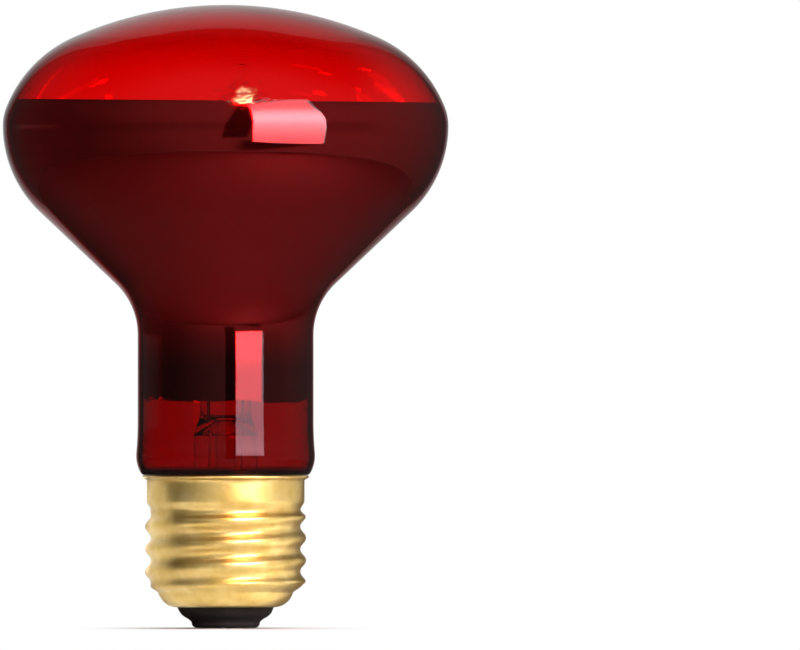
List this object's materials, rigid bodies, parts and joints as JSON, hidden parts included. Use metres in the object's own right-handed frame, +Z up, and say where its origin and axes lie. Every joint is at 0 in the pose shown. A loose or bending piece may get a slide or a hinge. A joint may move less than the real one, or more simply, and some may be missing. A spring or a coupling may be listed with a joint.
{
  "type": "infrared heat lamp bulb",
  "caption": "Reflector heat lamp bulb: ruby glass dome, silvered bowl on a straight neck, stem and filament inside, brass screw cap with a black insulator and end contact.",
  "frame": {"origin": "centre of the flat tip of the end contact, at the bottom of the cap", "axes": "+Z up the bulb's axis from the cap to the crown of the dome; -Y is the front; +Y the side with the soldered lip; +X to the right seen from the front"},
  "size_m": [0.072, 0.072, 0.1007],
  "materials": {
    "ruby_glass": "glossy, transparent red",
    "mirror_film": "bright vacuum-deposited aluminium",
    "stem_glass": "clear",
    "seal_wire": "copper-clad nickel iron",
    "nickel_lead": "bright nickel wire",
    "support_wire": "drawn molybdenum",
    "filament_wire": "drawn tungsten, coiled",
    "outer_lead": "bare copper wire",
    "shell_brass": "rolled, satin",
    "cement": "baked, matt",
    "black_glass": "opaque black, slightly dull",
    "contact_brass": "stamped",
    "solder": "soft tin-lead, smeared"
  },
  "bodies": {
    "root": {"glass_envelope": "ruby_glass", "reflector_coating": "mirror_film", "stem_flare": "stem_glass", "exhaust_tube": "stem_glass", "stem_arbor": "stem_glass", "seal_wire_left": "seal_wire", "seal_wire_right": "seal_wire", "inner_lead_left": "nickel_lead", "inner_lead_right": "nickel_lead", "filament_support_1": "support_wire", "filament_support_2": "support_wire", "filament_support_3": "support_wire", "filament": "filament_wire", "centre_lead": "outer_lead", "side_lead": "outer_lead", "screw_shell": "shell_brass", "capping_cement": "cement", "base_insulator": "black_glass", "centre_contact": "contact_brass", "tip_solder": "solder", "side_solder": "solder"}
  },
  "joints": []
}
